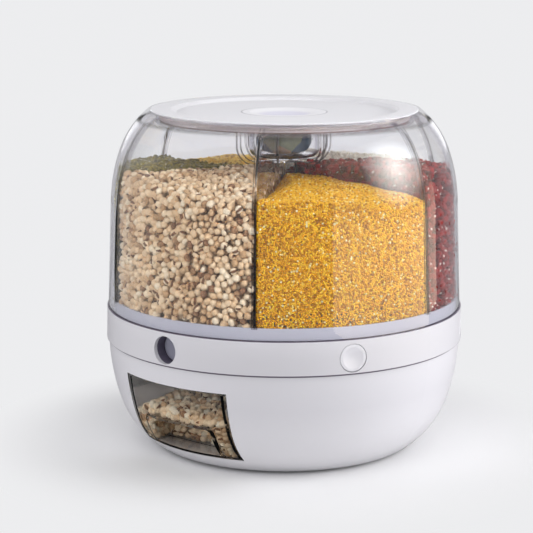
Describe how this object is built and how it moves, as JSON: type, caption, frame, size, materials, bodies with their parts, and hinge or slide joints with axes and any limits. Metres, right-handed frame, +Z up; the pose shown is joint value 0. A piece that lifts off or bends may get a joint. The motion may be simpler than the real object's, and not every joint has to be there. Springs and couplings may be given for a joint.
{
  "type": "rotating food dispenser",
  "caption": "Round dry-food dispenser: clear turning drum with radial compartments on a white base, push-button gates and a pull-out receiving box.",
  "frame": {"origin": "on the table under the middle of the dispenser", "axes": "+Z up, -Y out of the window of the receiving box"},
  "size_m": [0.28, 0.28, 0.2628],
  "materials": {
    "white_plastic": "smooth, satin gloss",
    "inner_plastic": "moulded, matt",
    "sleeve_plastic": "moulded, matt",
    "clear_plastic": "clear, polished",
    "tinted_plastic": "clear with a grey-brown tint, polished",
    "steel": "plain",
    "rubber": "matt",
    "silicone": "matt, translucent",
    "sachet_paper": "crumpled non-woven paper",
    "jobs_tears": "whole grains with brown creases",
    "millet": "small round golden grains",
    "red_beans": "glossy red beans",
    "cream_rice": "whole white grains",
    "corn_grits": "coarse yellow grains",
    "mung_beans": "small green beans"
  },
  "bodies": {
    "base": {"base_bowl": "white_plastic", "rubber_feet": "rubber", "box_cradle": "inner_plastic", "cradle_screws": "steel", "base_deck": "inner_plastic", "deck_screws": "steel", "spindle": "steel", "spindle_screws": "steel", "retaining_washer": "steel", "retaining_screw": "steel", "lower_race": "steel"},
    "bearing": {"ball_cage": "inner_plastic", "bearing_balls": "steel"},
    "drum": {"drum_ring": "white_plastic", "hopper_floor": "white_plastic", "gate_tray": "inner_plastic", "upper_race": "steel", "floor_screws": "steel", "ring_screws": "steel", "button_sleeves": "sleeve_plastic", "clear_dome": "clear_plastic", "centre_tube": "clear_plastic", "divider_1": "clear_plastic", "divider_2": "clear_plastic", "divider_3": "clear_plastic", "divider_4": "clear_plastic", "divider_5": "clear_plastic", "divider_6": "clear_plastic", "spring_1": "steel", "spring_2": "steel", "spring_3": "steel", "spring_4": "steel", "spring_5": "steel", "spring_6": "steel", "jobs_tears": "jobs_tears", "millet": "millet", "red_beans": "red_beans", "cream_rice": "cream_rice", "corn_grits": "corn_grits", "mung_beans": "mung_beans"},
    "push_1": {"button_1": "white_plastic", "gate_1": "inner_plastic"},
    "push_2": {"button_2": "white_plastic", "gate_2": "inner_plastic"},
    "push_3": {"button_3": "white_plastic", "gate_3": "inner_plastic"},
    "push_4": {"button_4": "white_plastic", "gate_4": "inner_plastic"},
    "push_5": {"button_5": "white_plastic", "gate_5": "inner_plastic"},
    "push_6": {"button_6": "white_plastic", "gate_6": "inner_plastic"},
    "lid": {"lid": "white_plastic", "lid_seal": "silicone"},
    "moisture_box": {"desiccant_cap": "white_plastic", "desiccant_cup": "clear_plastic", "desiccant_sachet": "sachet_paper"},
    "grain_box": {"receiving_box": "tinted_plastic", "box_grain": "jobs_tears"}
  },
  "joints": [
    {"name": "drum_spin", "type": "hinge", "parent": "base", "child": "drum", "pos_m": [0, 0, 0.086], "axis": [0, 0, 1], "continuous": true},
    {"name": "bearing_spin", "type": "hinge", "parent": "base", "child": "bearing", "pos_m": [0, 0, 0.086], "axis": [0, 0, 1], "continuous": true},
    {"name": "button_1_push", "type": "slide", "parent": "drum", "child": "push_1", "axis": [0, 1, 0], "range_m": [-0.011, 0], "stiffness_N_per_m": 120, "springref_m": -0.014, "deforming": ["spring_1"]},
    {"name": "button_2_push", "type": "slide", "parent": "drum", "child": "push_2", "axis": [-0.866, 0.5, 0], "range_m": [0, 0.011], "stiffness_N_per_m": 120, "springref_m": -0.003, "deforming": ["spring_2"]},
    {"name": "button_3_push", "type": "slide", "parent": "drum", "child": "push_3", "axis": [-0.866, -0.5, 0], "range_m": [0, 0.011], "stiffness_N_per_m": 120, "springref_m": -0.003, "deforming": ["spring_3"]},
    {"name": "button_4_push", "type": "slide", "parent": "drum", "child": "push_4", "axis": [0, -1, 0], "range_m": [0, 0.011], "stiffness_N_per_m": 120, "springref_m": -0.003, "deforming": ["spring_4"]},
    {"name": "button_5_push", "type": "slide", "parent": "drum", "child": "push_5", "axis": [0.866, -0.5, 0], "range_m": [0, 0.011], "stiffness_N_per_m": 120, "springref_m": -0.003, "deforming": ["spring_5"]},
    {"name": "button_6_push", "type": "slide", "parent": "drum", "child": "push_6", "axis": [0.866, 0.5, 0], "range_m": [0, 0.011], "stiffness_N_per_m": 120, "springref_m": -0.003, "deforming": ["spring_6"]},
    {"name": "lid_lift", "type": "slide", "parent": "drum", "child": "lid", "axis": [0, 0, 1], "range_m": [0, 0.06]},
    {"name": "moisture_box_twist", "type": "hinge", "parent": "lid", "child": "moisture_box", "pos_m": [0, 0, 0.258], "axis": [0, 0, 1], "range_deg": [0, 45]},
    {"name": "box_slide", "type": "slide", "parent": "base", "child": "grain_box", "axis": [0, -1, 0], "range_m": [0, 0.11]}
  ],
  "couplings": [
    {"joint": "bearing_spin", "follows": "drum_spin", "ratio": 0.5}
  ]
}
